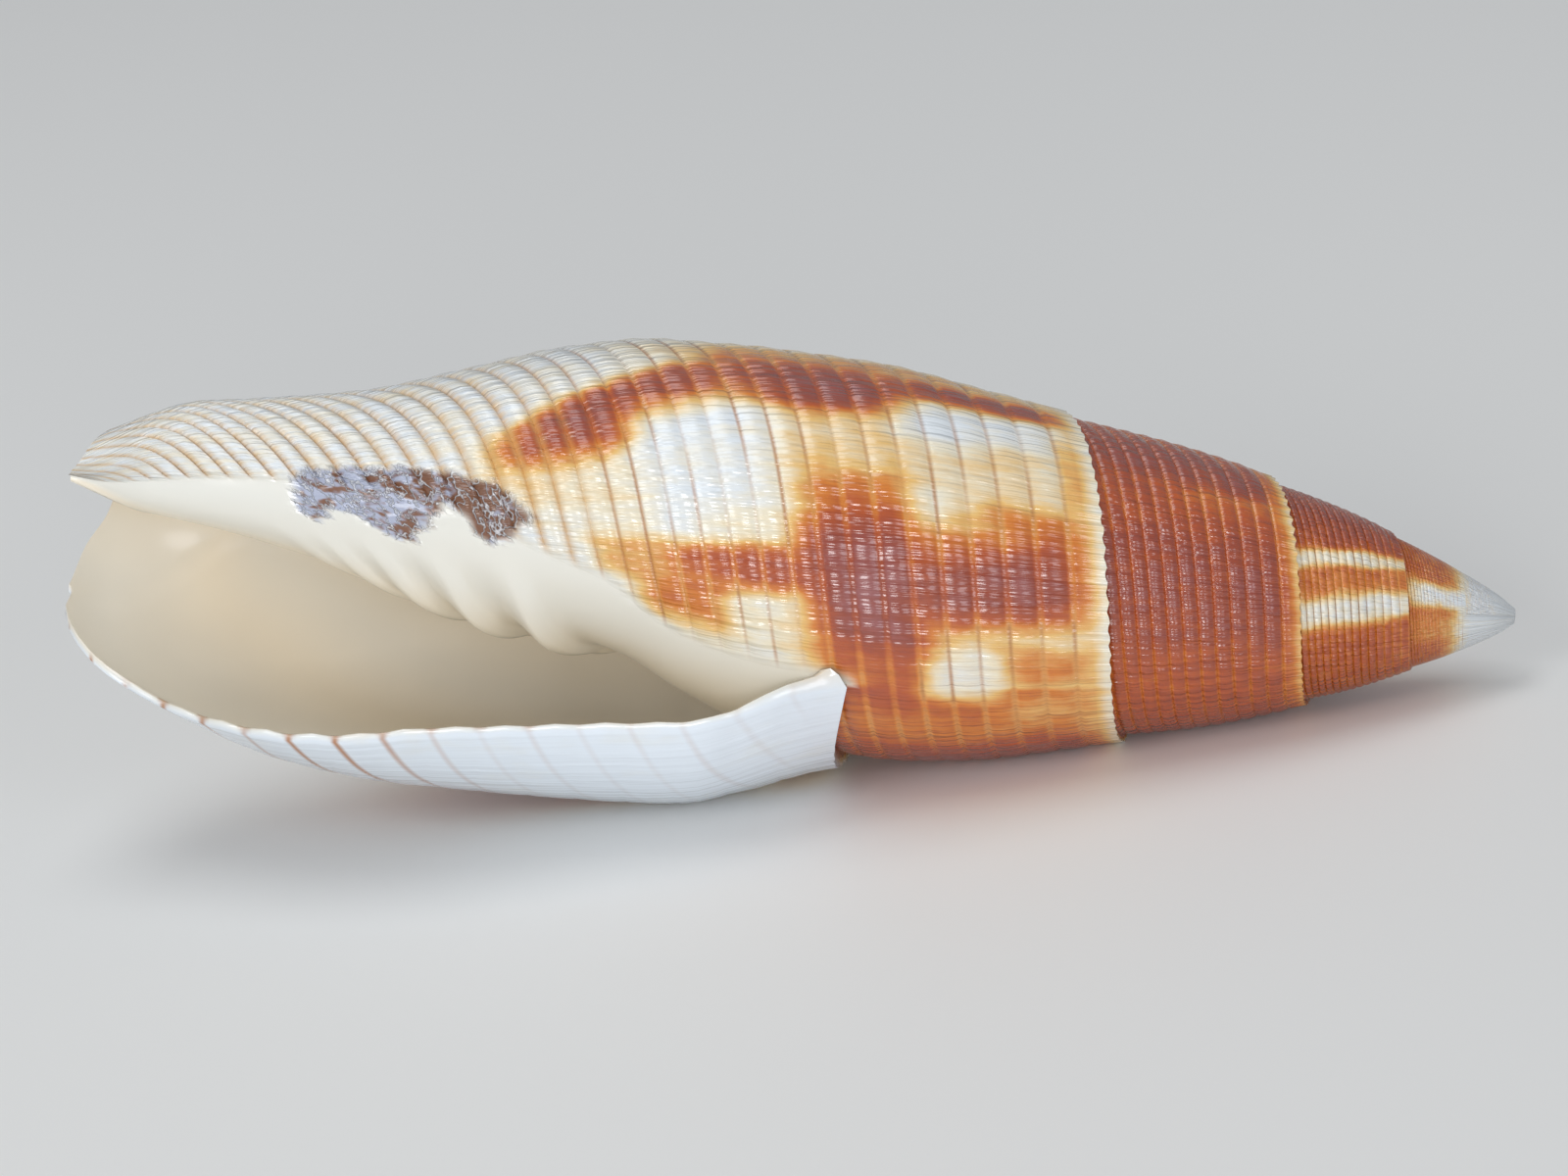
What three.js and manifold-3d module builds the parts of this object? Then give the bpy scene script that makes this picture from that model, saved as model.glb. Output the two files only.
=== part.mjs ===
// A mitre shell: a slim, spindle-shaped sea snail shell lying on its side, its mouth facing -Y and its apex +X.
// Millimetres, +Z up, the origin under the middle of the shell on the surface it lies on.
//
// The shell is drawn by how it grew. "turn" is the angle in degrees the growing edge has swept round the axis:
// 0 faces the mouth side, 90 is up, 180 the back, 270 down, and growth stopped at the lip. "along" is the distance
// from the apex down the axis. The suture, where each whorl meets the one before, winds down as a spiral, and
// everything that runs round the shell keeps a fixed ratio, its "cord", of along to the suture of its own turn.

import * as THREE from "three";
import Module from "manifold-3d";

const wasm = await Module();
wasm.setup();

const { degToRad, clamp, smoothstep } = THREE.MathUtils;

// Growth
const LIP_TURN = 323; // turn of the lip where it meets the suture
const LAST_START = LIP_TURN - 360; // the turn one whorl before the lip
const SPIRE_TURNS = 3.9; // whorls with a suture above the body whorl
const SUTURE_AT_FRONT = 17.7; // along of the suture at turn 0
const SUTURE_GROWTH = 0.0925; // share the suture moves down per radian of turn
const SUTURE_SLOWING = 0.0009; // how that share falls off with turn
const SUTURE_TILT = 0.04; // the suture leans a little, lower at the back of each whorl
const LEVEL_TURN = 281; // from here to the lip the suture levels off
const LEVEL_SOFTNESS = 17;
const FLARE_TURN = 278; // from here to the lip the whorl widens more slowly
const FLARE_SOFTNESS = 20;
const FLARE_SHARE = 0.5;

// Suture ledge and whorl sides
const LEDGE = 0.36; // step at a suture of the larger whorls
const LEDGE_FADE = 5; // along over which the step grows in from the apex
const WHORL_BULGE = 0.1;

// Mouth
const LIP_EDGE = 0.35; // wall at the lip's edge
const WALL = 1.1; // wall inside the body whorl
const CANAL_WALL = 0.6; // wall at the canal end
const LIP_TAPER = 60; // degrees over which the wall thickens behind the lip
const ROOF = 1.5; // shell between the suture and the roof of the mouth
const ROOF_ROUND = 4; // height of the rounded roof
const MOUTH_DEPTH = 203; // degrees the hollow runs back from the lip
const PILLAR = 1.15; // least radius of the pillar, the columella
const CANAL_BEND = 1.3; // lift of the canal end off the straight axis
const BEND_FROM = 35;

// Columella folds: cord of the crest and height, strongest first
const FOLDS = [
  [2.403, 0.8],
  [2.576, 0.7],
  [2.724, 0.55],
  [2.837, 0.4],
  [2.93, 0.22],
];
const FOLD_WIDTH = 0.045;
const FOLD_FROM = 32; // along where folds can begin
const FOLD_START = -5; // folds fade in between these turns
const FOLD_FULL = -60;

// Pose
const NOSE_DOWN = 11.9; // the apex points this far below level
const ROLL = 18; // the mouth looks this far above level
const FLAT_DEPTH = 0.2; // worn off where the shell lies

// Mesh
const COLUMNS = 50; // facets round one whorl
const APEX_RINGS = 5;

// A smooth curve through [x, y] points that doesn't swing past them.
function curve(points) {
  const slope = points.slice(1).map(([x, y], k) => (y - points[k][1]) / (x - points[k][0]));
  const tangent = points.map((_, k) => {
    const before = slope[Math.max(k - 1, 0)];
    const after = slope[Math.min(k, slope.length - 1)];
    return before * after > 0 ? (2 * before * after) / (before + after) : 0;
  });
  return (at) => {
    const x = clamp(at, points[0][0], points.at(-1)[0]);
    const next = points.findIndex(([px]) => px > x);
    const k = next < 0 ? points.length - 2 : next - 1;
    const span = points[k + 1][0] - points[k][0];
    const t = (x - points[k][0]) / span;
    const s = 1 - t;
    return (
      s * s * (1 + 2 * t) * points[k][1] +
      t * s * s * span * tangent[k] +
      t * t * (3 - 2 * t) * points[k + 1][1] -
      t * t * s * span * tangent[k + 1]
    );
  };
}

// Radius against along on three sides of the body whorl; the spire is the same all round.
const SPIRE = [
  [0, 0.3],
  [0.9, 0.92],
  [3.5, 2.17],
  [7.5, 3.8],
  [12.5, 5.38],
  [17.5, 6.52],
];
const pillarSide = curve([
  ...SPIRE,
  [22.5, 7.55],
  [26, 7.85],
  [30, 7.35],
  [34.4, 5.54],
  [37, 3.95],
  [39, 3.35],
  [43, 3],
  [49, 2],
  [55, 1.2],
  [60, 1.1],
]);
const topSide = curve([
  ...SPIRE,
  [22.5, 7.45],
  [27.5, 8.35],
  [33, 8.72],
  [36, 8.7],
  [40, 8],
  [44, 6.62],
  [48, 5.15],
  [52.8, 4.03],
  [55.2, 3.53],
  [58.4, 2],
  [60, 0.9],
]);
const bellySide = curve([
  ...SPIRE,
  [22.5, 7.5],
  [27.5, 8.1],
  [31.3, 9.38],
  [34, 10.15],
  [38, 10.35],
  [46, 10.6],
  [50, 10.3],
  [54.3, 9.25],
  [58, 7.8],
  [60, 6.5],
]);

// How far, in degrees, the lip falls back from its start at the suture, against cord.
const lipLag = curve([
  [1, 0],
  [1.08, 0],
  [1.16, 3.5],
  [1.29, 7],
  [1.433, 9],
  [1.605, 11],
  [1.733, 17],
  [1.849, 24],
  [1.972, 36],
  [2.08, 44],
  [2.14, 52],
  [2.2, 66],
  [2.245, 80],
  [5, 80],
]);

// Along of the canal end, notched at the back, against turn.
const canalEnd = curve([
  [-360, 60],
  [-40, 60],
  [0, 60.1],
  [45, 60],
  [90, 59.3],
  [125, 58.2],
  [155, 57.8],
  [195, 58.4],
  [220, 59.3],
  [243, 59.8],
  [330, 59.8],
]);

const softStep = (x, from, softness) => softness * Math.log1p(Math.exp((x - from) / softness));

function suture(turn) {
  const t = degToRad(turn - softStep(turn, LEVEL_TURN, LEVEL_SOFTNESS));
  const lean = 1 - SUTURE_TILT * Math.sin(degToRad(turn));
  return SUTURE_AT_FRONT * Math.exp(SUTURE_GROWTH * t - SUTURE_SLOWING * t * t) * lean;
}

const nextSuture = (turn) => suture(Math.min(turn + 360, LIP_TURN));
const APEX_CAP = suture(LAST_START - (SPIRE_TURNS - 1) * 360); // smooth apex above this along

// Whorl radius without its finer relief. Past the last seam, older turns are the covered pillar.
function plainRadius(along, turn) {
  if (turn < -90) {
    if (along <= nextSuture(turn) + 1e-6) return pillarSide(along);
    const size = nextSuture(turn) / suture(270);
    return Math.max(PILLAR, size * pillarSide(along / size));
  }
  const u = (turn - FLARE_SHARE * softStep(turn, FLARE_TURN, FLARE_SOFTNESS) + 90) / 360;
  return (
    pillarSide(along) * (1 - u) * (1 - 2 * u) +
    topSide(along) * 4 * u * (1 - u) +
    bellySide(along) * u * (2 * u - 1)
  );
}

const ledgeAt = (along) => LEDGE * (1 - Math.exp(-Math.max(along - APEX_CAP, 0) / LEDGE_FADE));

// Each whorl stands proud at its own suture, swells a little and dips under the next one.
function ledge(along, turn) {
  const top = suture(turn);
  const height = turn < LAST_START ? nextSuture(turn) - top : 0.55 * top;
  const down = Math.max((along - top) / height, 0);
  const dip = 0.45 * ledgeAt(nextSuture(turn)) * Math.min(down, 1) ** 2;
  const covered = clamp(1 - (turn - LAST_START) / 70, 0, 1);
  const bulge = WHORL_BULGE * Math.max(4 * down * (1 - down), 0) * Math.min(top / 10, 1);
  const proud = 0.55 * ledgeAt(top) * Math.exp(-3 * down);
  return (proud - dip * covered + bulge) * clamp((along - APEX_CAP) / 0.8, 0, 1);
}

function folds(along, turn) {
  if (along < FOLD_FROM || turn > FOLD_START) return 0;
  const cord = along / suture(turn);
  const shown = 1 - smoothstep(turn, FOLD_FULL, FOLD_START);
  return FOLDS.reduce(
    (sum, [crest, height]) => sum + shown * height * Math.exp(-(((cord - crest) / FOLD_WIDTH) ** 2)),
    0,
  );
}

const outerRadius = (along, turn) => plainRadius(along, turn) + ledge(along, turn) + folds(along, turn);
const roof = (turn) => suture(turn) + ROOF;

// Inner face of the wall: thin at the lip, rounded over at the roof of the mouth.
function innerRadius(along, turn, column) {
  const wall = WALL + (CANAL_WALL - WALL) * clamp((along - 45) / 15, 0, 1);
  const thick = LIP_EDGE + (wall - LIP_EDGE) * smoothstep(LIP_TURN - column, 0, LIP_TAPER);
  const pillar = outerRadius(along, turn - 360);
  const open = clamp((along - roof(turn)) / ROOF_ROUND, 0, 1);
  return pillar + (outerRadius(along, turn) - thick - pillar) * Math.sqrt(1 - (1 - open) ** 2);
}

// Rows of the mesh, each at one cord: whorl sides, then close together across the folds.
const SEAM = suture(LIP_TURN) / suture(LAST_START);
const MOUTH_ROOF = roof(LIP_TURN) / suture(LAST_START);
const ROWS = [
  1, 1.06, 1.16, 1.29, 1.44, SEAM, MOUTH_ROOF, 1.85, 1.97, 2.08, 2.14, 2.2, 2.245, 2.32, 2.403, 2.49, 2.576, 2.65,
  2.724, 2.78, 2.837, 2.885, 2.93, 3.02, 3.2, 3.55,
];
const SPIRE_ROWS = ROWS.filter((cord) => cord < 2.3);
const LAST = ROWS.length - 1;
const columnTurn = (column) => LAST_START + (column * 360) / COLUMNS;
// Near the lip the columns lean back with the growth lines.
const leanTurn = (turn, cord) => turn - lipLag(cord) * smoothstep(turn, 100, 283);

const positions = [];
const triangles = [];
const known = new Map();

function vertex(along, turn, radius) {
  const angle = degToRad(turn);
  const lift = CANAL_BEND * (Math.max(along - BEND_FROM, 0) / 25) ** 2;
  const p = [-along, -radius * Math.cos(angle), radius * Math.sin(angle) + lift];
  const key = p.map((x) => Math.round(x * 1e4)).join();
  if (!known.has(key)) {
    known.set(key, positions.length / 3);
    positions.push(...p);
  }
  return known.get(key);
}

// A face round three or four corners; corners that fell together are dropped.
function face(...corners) {
  const ring = corners.filter((v, k) => corners.indexOf(v) === k);
  for (let k = 1; k + 1 < ring.length; k++) triangles.push(ring[0], ring[k], ring[k + 1]);
}

function sheet(grid) {
  for (let i = 0; i + 1 < grid.length; i++)
    for (let j = 0; j + 1 < grid[i].length; j++)
      face(grid[i][j], grid[i + 1][j], grid[i + 1][j + 1], grid[i][j + 1]);
}

const columnsFrom = (first, last) => Array.from({ length: last - first + 1 }, (_, k) => first + k);

// Body whorl, from the pillar round to the lip.
const body = columnsFrom(0, COLUMNS).map((column) =>
  ROWS.map((cord) => {
    const turn = leanTurn(columnTurn(column), cord);
    const along = Math.min(cord * suture(turn), canalEnd(turn));
    return vertex(along, turn, outerRadius(along, turn));
  }),
);
sheet(body);

// Spire whorls, each ending at the next suture.
const SPIRE_COLUMNS = Math.round(SPIRE_TURNS * COLUMNS);
const spire = columnsFrom(-SPIRE_COLUMNS, 0).map((column) => {
  const turn = columnTurn(column);
  return SPIRE_ROWS.map((cord) => {
    const along = Math.min(Math.max(cord * suture(turn), APEX_CAP), nextSuture(turn));
    return vertex(along, turn, outerRadius(along, turn));
  });
});
sheet(spire);

// Smooth apex.
const apex = columnsFrom(0, COLUMNS).map((column) =>
  columnsFrom(0, APEX_RINGS).map((ring) => {
    const along = APEX_CAP * (ring / APEX_RINGS) ** 1.6;
    return vertex(along, columnTurn((column % COLUMNS) - SPIRE_COLUMNS), ring ? pillarSide(along) : 0);
  }),
);
sheet(apex);

// Suture ledges: from the foot of one whorl up to the shoulder of the next.
const shoulder = (column) => (column >= 0 ? body[column][0] : spire[column + SPIRE_COLUMNS][0]);
const foot = (column) => spire[column + SPIRE_COLUMNS].at(-1);
for (let column = -SPIRE_COLUMNS; column < 0; column++)
  face(foot(column), foot(column + 1), shoulder(column + 1 + COLUMNS), shoulder(column + COLUMNS));

// Inside of the wall, from the lip back into the whorl.
const MOUTH_COLUMNS = Math.round((MOUTH_DEPTH / 360) * COLUMNS);
const wall = columnsFrom(COLUMNS - MOUTH_COLUMNS, COLUMNS).map((column) =>
  ROWS.map((cord) => {
    const turn = leanTurn(columnTurn(column), cord);
    const along = Math.min(Math.max(cord * suture(turn), roof(turn)), canalEnd(turn));
    return vertex(along, turn, innerRadius(along, turn, columnTurn(column)));
  }),
);
sheet(wall.toReversed());

// Pillar and folds inside the mouth, running on from the body whorl.
const pillar = columnsFrom(-MOUTH_COLUMNS, 0).map((column) => {
  const turn = columnTurn(column);
  return ROWS.map((cord) => {
    const along = Math.min(Math.max(cord * suture(turn), roof(turn + 360)), canalEnd(turn));
    return vertex(along, turn, outerRadius(along, turn));
  });
});
sheet(pillar);

// Edge of the lip, its corner on the suture and the rim at the canal end.
sheet([body[COLUMNS], wall[MOUTH_COLUMNS]]);
for (let row = ROWS.indexOf(SEAM); row < ROWS.indexOf(MOUTH_ROOF); row++)
  face(body[COLUMNS][0], body[0][row], body[0][row + 1]);
for (let k = 0; k < MOUTH_COLUMNS; k++) {
  const column = COLUMNS - MOUTH_COLUMNS + k;
  face(body[column][LAST], body[column + 1][LAST], wall[k + 1][LAST], wall[k][LAST]);
}

// Tip of the pillar.
const tip = [
  ...pillar.map((column) => column[LAST]),
  ...body.slice(1, COLUMNS - MOUTH_COLUMNS + 1).map((column) => column[LAST]),
  wall[0][LAST],
];
const tipCentre = vertex(59.9, 0, 0);
tip.forEach((corner, k) => {
  if (corner !== tip[(k + 1) % tip.length]) face(corner, tip[(k + 1) % tip.length], tipCentre);
});

// Far end of the hollow, between the wall and the pillar.
const distinct = (line) => line.filter((v, k) => v !== line[k - 1]);
const wallEnd = distinct(wall[0]);
const pillarEnd = distinct(pillar[0]);
const alongOf = (v) => (v === undefined ? Infinity : -positions[3 * v]);
for (let i = 0, j = 0; i + 1 < wallEnd.length || j + 1 < pillarEnd.length; ) {
  if (alongOf(wallEnd[i + 1]) <= alongOf(pillarEnd[j + 1])) face(wallEnd[i], pillarEnd[j], wallEnd[++i]);
  else face(wallEnd[i], pillarEnd[j], pillarEnd[++j]);
}

// Lay the shell down as it rests and wear a flat where it touches.
const geometry = new THREE.BufferGeometry();
geometry.setAttribute("position", new THREE.Float32BufferAttribute(positions, 3));
geometry.setIndex(triangles);
geometry.rotateX(degToRad(-ROLL));
geometry.rotateY(degToRad(NOSE_DOWN));
geometry.computeBoundingBox();
const { min, max } = geometry.boundingBox;
geometry.translate(-(min.x + max.x) / 2, -(min.y + max.y) / 2, -min.z - FLAT_DEPTH);

const solidOf = (g) =>
  new wasm.Manifold(
    new wasm.Mesh({
      numProp: 3,
      vertProperties: new Float32Array(g.attributes.position.array),
      triVerts: new Uint32Array(g.index.array),
    }),
  );

function boxSolid(width, depth, height, x, y, z) {
  const corners = [];
  for (const cx of [-1, 1])
    for (const cy of [-1, 1])
      for (const cz of [-1, 1]) corners.push(x + (cx * width) / 2, y + (cy * depth) / 2, z + (cz * height) / 2);
  const box = new THREE.BufferGeometry();
  box.setAttribute("position", new THREE.Float32BufferAttribute(corners, 3));
  box.setIndex([
    0, 1, 3, 0, 3, 2, 4, 6, 7, 4, 7, 5, 0, 4, 5, 0, 5, 1, 2, 3, 7, 2, 7, 6, 0, 2, 6, 0, 6, 4, 1, 5, 7, 1, 7, 3,
  ]);
  return solidOf(box);
}

const shell = solidOf(geometry).subtract(boxSolid(100, 100, 10, 0, 0, -5));

function meshOf(solid, name, color) {
  const made = solid.getMesh();
  const g = new THREE.BufferGeometry();
  g.setAttribute("position", new THREE.BufferAttribute(made.vertProperties, 3));
  g.setIndex(new THREE.BufferAttribute(made.triVerts, 1));
  g.computeVertexNormals();
  const mesh = new THREE.Mesh(g, new THREE.MeshStandardMaterial({ color, roughness: 0.35, metalness: 0 }));
  mesh.name = name;
  return mesh;
}

const part = new THREE.Group();
part.name = "mitre_shell";
part.add(meshOf(shell, "shell", 0xd9b48a));

export default part;
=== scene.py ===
"""A mitre shell lying on its side: cords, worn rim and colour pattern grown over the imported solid.

The surface is drawn by how the shell grew. "turn" is the angle in degrees swept round the axis (0 faces
the mouth side, 90 is up), "along" is the distance in mm from the apex down the axis, and "cord" is along
divided by the suture of the same turn, so that a cord keeps its number from the apex to the lip. "growth"
is the turn before the lip's lean is taken off. The shell's lengths are in mm and its angles in degrees,
and to_frame turns them into metres.
"""

import math

import bpy
import numpy as np
from mathutils import Matrix, Vector


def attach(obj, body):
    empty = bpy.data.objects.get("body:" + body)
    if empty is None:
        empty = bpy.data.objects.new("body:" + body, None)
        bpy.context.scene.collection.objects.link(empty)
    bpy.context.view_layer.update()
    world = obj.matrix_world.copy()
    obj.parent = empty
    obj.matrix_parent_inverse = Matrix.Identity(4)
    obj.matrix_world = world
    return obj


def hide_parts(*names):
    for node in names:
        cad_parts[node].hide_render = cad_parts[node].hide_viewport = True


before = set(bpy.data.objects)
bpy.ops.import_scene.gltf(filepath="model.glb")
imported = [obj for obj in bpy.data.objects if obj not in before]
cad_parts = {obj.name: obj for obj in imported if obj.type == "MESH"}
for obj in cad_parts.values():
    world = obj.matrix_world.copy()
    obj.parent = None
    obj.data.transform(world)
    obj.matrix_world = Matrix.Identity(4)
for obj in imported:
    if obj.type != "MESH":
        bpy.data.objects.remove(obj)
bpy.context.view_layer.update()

MM = 0.001

# Growth, as in the solid
LIP_TURN = 323
LAST_START = LIP_TURN - 360
SPIRE_TURNS = 3.9
SUTURE_AT_FRONT = 17.7
SUTURE_GROWTH = 0.0925
SUTURE_SLOWING = 0.0009
SUTURE_TILT = 0.04
LEVEL_TURN, LEVEL_SOFTNESS = 281, 17
FLARE_TURN, FLARE_SOFTNESS, FLARE_SHARE = 278, 20, 0.5
BODY_START, MATURE_TURN = -90, 270  # turns of the pillar side, where the body starts, and of the belly side
LEDGE, LEDGE_FADE, WHORL_BULGE = 0.36, 5, 0.1
LEDGE_DIP, LEDGE_PROUD = 0.45, 0.55  # shares of the ledge, in at a whorl's foot and out at its rim
LEDGE_FALL = 3  # how fast the rim falls off down the whorl
LAST_WHORL_HEIGHT = 0.55  # share of the suture
COVERED_TURN = 70  # degrees over which the dip at the foot ends on the last whorl
BULGE_FULL = 10  # along of the suture from which whorls bulge fully
APEX_BLEND = 0.8  # mm past the apex cap over which ledges begin

# Mouth, as in the solid, with folds that stand a little higher
LIP_EDGE, WALL, CANAL_WALL, LIP_TAPER = 0.35, 1.1, 0.6, 60
CANAL_THIN_FROM, CANAL_THIN_REACH = 45, 15
ROOF, ROOF_ROUND, MOUTH_DEPTH, PILLAR = 1.5, 4, 203, 1.15
CANAL_BEND, BEND_FROM, BEND_REACH = 1.3, 35, 25
FOLDS = [(2.403, 0.95), (2.576, 0.85), (2.724, 0.68), (2.837, 0.48), (2.93, 0.26)]
FOLD_WIDTH, FOLD_FROM, FOLD_START, FOLD_FULL = 0.045, 32, -5, -60

# Pose, as in the solid
NOSE_DOWN, ROLL = 11.9, 18

# Cords and finer relief
CORDS_FIRST = 12.5  # cords per unit of cord ratio at the suture
CORDS_MORE = 1.7  # how they crowd below it
RELIEF_FROM = (2.5, 7)  # along where the smooth apex gives way to cords
BASE_CORDS = (1.9, 2.5)  # cords over which the coarser cords of the base set in
FIRST_GROOVE = (0.4, 0.8)  # part of the first cord where cords start below the rim
CANAL_FADE, LIP_CANAL_FADE = (55, 59), (52, 57)  # along where cords end at the canal, sooner on the lip
LIP_CALM = 0.75  # share of the cords and growth lines that the lip smooths away
GROOVE_WIDTH = 0.13  # share of a cord
GROOVE_DEPTH, BASE_GROOVE_DEPTH = 0.05, 0.08
CORD_RISE, BASE_CORD_RISE = 0.07, 0.16  # crest of each cord
CREST_FLATNESS = 4  # 1 is a sharp crest, more is a flatter one
BEADS_PER_TURN = 60  # beads on the rim at each suture
BEAD_HEIGHT, BEAD_REACH, BEAD_UNEVEN = 0.05, 0.12, 2.2
BEADS_FROM, BEADS_END = (4, 10), (280, 305)  # along where they start, and the turns where the lip ends them
BEAD_RIM, BEAD_EDGE = 0.5, 0.35  # cords that the beads reach down, in height and at the edge
TIP_FROM, TIP_END, TIP_SHARE = 56.5, 60.1, 0.75  # the pillar ends in a point
TIP_TURNS, TIP_CURVE = (20, 100), 1.5
TIP_CENTRE = 59.9  # along of the middle of that point
LEAN_TURNS = (100, 283)  # turns over which the growth lines come to lean with the lip
SCALLOP = 0.14  # lip scallops at the ends of the cords
SCALLOP_FIRST, SCALLOP_REACH = 1.15, 2.5  # first cord that has one, and degrees behind the lip
SCALLOP_FULL, SCALLOP_GONE = (1.6, 1.95), (2.0, 2.1)
LIP_RADIUS = 9  # mm from the axis, to turn the scallops into degrees
LIP_ROUND_GONE = (1.95, 2.1)  # cords where the rounded edge of the lip turns flat
CALLUS_RISE, CALLUS_FADE = 0.1, (40, 50)
CALLUS_TOP, CALLUS_SOFT = 1.62, 3
LIP_BAND, LIP_SOLID = 62, 45  # degrees behind the lip where its white band starts and is full
STRIPE_SHIFT, STRIPE_CURVE = 2, 1.3  # cords that a line slants across that band, and how late
DASH_BACK = (5, 1)  # degrees behind the lip where the dashes on its edge start and are full
DASH_FULL, DASH_GONE = (1.35, 1.5), (2.0, 2.08)
BACK_TURN = 180  # past this turn the surface belongs to the lip's side
PILLAR_GROWTH = 60  # growth below this is on the pillar's side
DEEP_TURNS = (-25, 45)  # degrees inward from the start of the last whorl over which its cream deepens
WORN_DEPTH, WORN_ROUGH = 0.16, 0.45

# Mesh
COLUMNS = 210
ROW_STEPS = (0, 0.14, 0.5, 0.86)  # rows within each cord: groove, shoulder, crest and shoulder
LAST_CORD, SPIRE_LAST_CORD = 3.6, 2.3
WELD = 1e4  # points that agree to this many parts of a mm are one
APEX_RING_CURVE = 1.6
PILLAR_ROWS = (3.75, 4, 4.3, 4.7, 5.1, 5.4)
APEX_RINGS = 14
LIP_ROUND = 5  # points across the rounded edge of the lip
SHARP_ANGLE = 58  # degrees; steeper edges, such as the rim of the canal, stay crisp


def smoothstep(x, low, high):
    t = np.clip((x - low) / (high - low), 0, 1)
    return t * t * (3 - 2 * t)


def curve(points):
    """A smooth curve through (x, y) points that doesn't swing past them."""
    xs, ys = np.array(points, float).T
    slope = np.diff(ys) / np.diff(xs)
    before, after = np.r_[slope[0], slope], np.r_[slope, slope[-1]]
    same_way = before * after > 0
    tangent = np.where(same_way, 2 * before * after / np.where(same_way, before + after, 1), 0)

    def at(x):
        x = np.clip(x, xs[0], xs[-1])
        k = np.clip(np.searchsorted(xs, x, side="right") - 1, 0, len(xs) - 2)
        span = xs[k + 1] - xs[k]
        t = (x - xs[k]) / span
        s = 1 - t
        return (s * s * (1 + 2 * t) * ys[k] + t * s * s * span * tangent[k]
                + t * t * (3 - 2 * t) * ys[k + 1] - t * t * s * span * tangent[k + 1])
    return at


# Radius against along on three sides of the body whorl
SPIRE = [(0, 0.3), (0.9, 0.92), (3.5, 2.17), (7.5, 3.8), (12.5, 5.38), (17.5, 6.52)]
pillar_side = curve(SPIRE + [(22.5, 7.55), (26, 7.85), (30, 7.35), (34.4, 5.54), (37, 3.95), (39, 3.35),
                             (43, 3), (49, 2), (55, 1.2), (60, 1.1)])
top_side = curve(SPIRE + [(22.5, 7.45), (27.5, 8.35), (33, 8.72), (36, 8.7), (40, 8), (44, 6.62),
                          (48, 5.15), (52.8, 4.03), (55.2, 3.53), (58.4, 2), (60, 0.9)])
belly_side = curve(SPIRE + [(22.5, 7.5), (27.5, 8.1), (31.3, 9.38), (34, 10.15), (38, 10.35), (46, 10.6),
                            (50, 10.3), (54.3, 9.25), (58, 7.8), (60, 6.5)])
# Degrees the lip falls back from its start at the suture, against cord
lip_lag = curve([(1, 0), (1.08, 0), (1.16, 3.5), (1.29, 7), (1.433, 9), (1.605, 11), (1.733, 17),
                 (1.849, 24), (1.972, 36), (2.08, 44), (2.14, 52), (2.2, 66), (2.245, 80), (5, 80)])
# Along of the canal end, against turn: as in the solid, and a little longer on the lip's side
canal_end = curve([(-360, 60), (-40, 60), (0, 60.1), (45, 60), (90, 59.3), (125, 58.2), (155, 57.8),
                   (195, 58.4), (220, 59.3), (243, 59.8), (256, 60.1), (330, 60.1)])
# Turn of the callus edge, against cord: below it the inner lip is smooth
callus_edge = curve([(1.6, -36), (1.7, -33), (1.9, -32), (2.01, -29), (2.1, -21), (2.15, -12.6),
                     (2.26, -6), (2.34, 0), (2.45, 10), (2.6, 20), (2.81, 25), (2.92, 24), (3.18, 13),
                     (3.4, -10)])


def soft_step(x, start, softness):
    return softness * np.logaddexp(0, (x - start) / softness)


def suture(turn):
    t = np.radians(turn - soft_step(turn, LEVEL_TURN, LEVEL_SOFTNESS))
    lean = 1 - SUTURE_TILT * np.sin(np.radians(turn))
    return SUTURE_AT_FRONT * np.exp(SUTURE_GROWTH * t - SUTURE_SLOWING * t * t) * lean


def next_suture(turn):
    return suture(np.minimum(turn + 360, LIP_TURN))


APEX_CAP = suture(LAST_START - (SPIRE_TURNS - 1) * 360)


def plain_radius(along, turn):
    """The smooth whorls: the pillar, top and belly sides blended round the axis by a parabola."""
    size = next_suture(turn) / suture(MATURE_TURN)
    covered = np.maximum(PILLAR, size * pillar_side(along / size))
    older = np.where(along <= next_suture(turn) + 1e-6, pillar_side(along), covered)
    u = (turn - FLARE_SHARE * soft_step(turn, FLARE_TURN, FLARE_SOFTNESS) - BODY_START) / 360
    body = (pillar_side(along) * (1 - u) * (1 - 2 * u) + top_side(along) * 4 * u * (1 - u)
            + belly_side(along) * u * (2 * u - 1))
    return np.where(turn < BODY_START, older, body)


def ledge_at(along):
    return LEDGE * (1 - np.exp(-np.maximum(along - APEX_CAP, 0) / LEDGE_FADE))


def ledge(along, turn):
    """Each whorl stands proud of the one above it at the suture, and dips before the next."""
    top = suture(turn)
    height = np.where(turn < LAST_START, next_suture(turn) - top, LAST_WHORL_HEIGHT * top)
    down = np.maximum((along - top) / np.maximum(height, 1e-3), 0)
    dip = LEDGE_DIP * ledge_at(next_suture(turn)) * np.minimum(down, 1) ** 2
    covered = np.clip(1 - (turn - LAST_START) / COVERED_TURN, 0, 1)
    bulge = WHORL_BULGE * np.maximum(4 * down * (1 - down), 0) * np.minimum(top / BULGE_FULL, 1)
    proud = LEDGE_PROUD * ledge_at(top) * np.exp(-LEDGE_FALL * down)
    return (proud - dip * covered + bulge) * np.clip((along - APEX_CAP) / APEX_BLEND, 0, 1)


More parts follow.
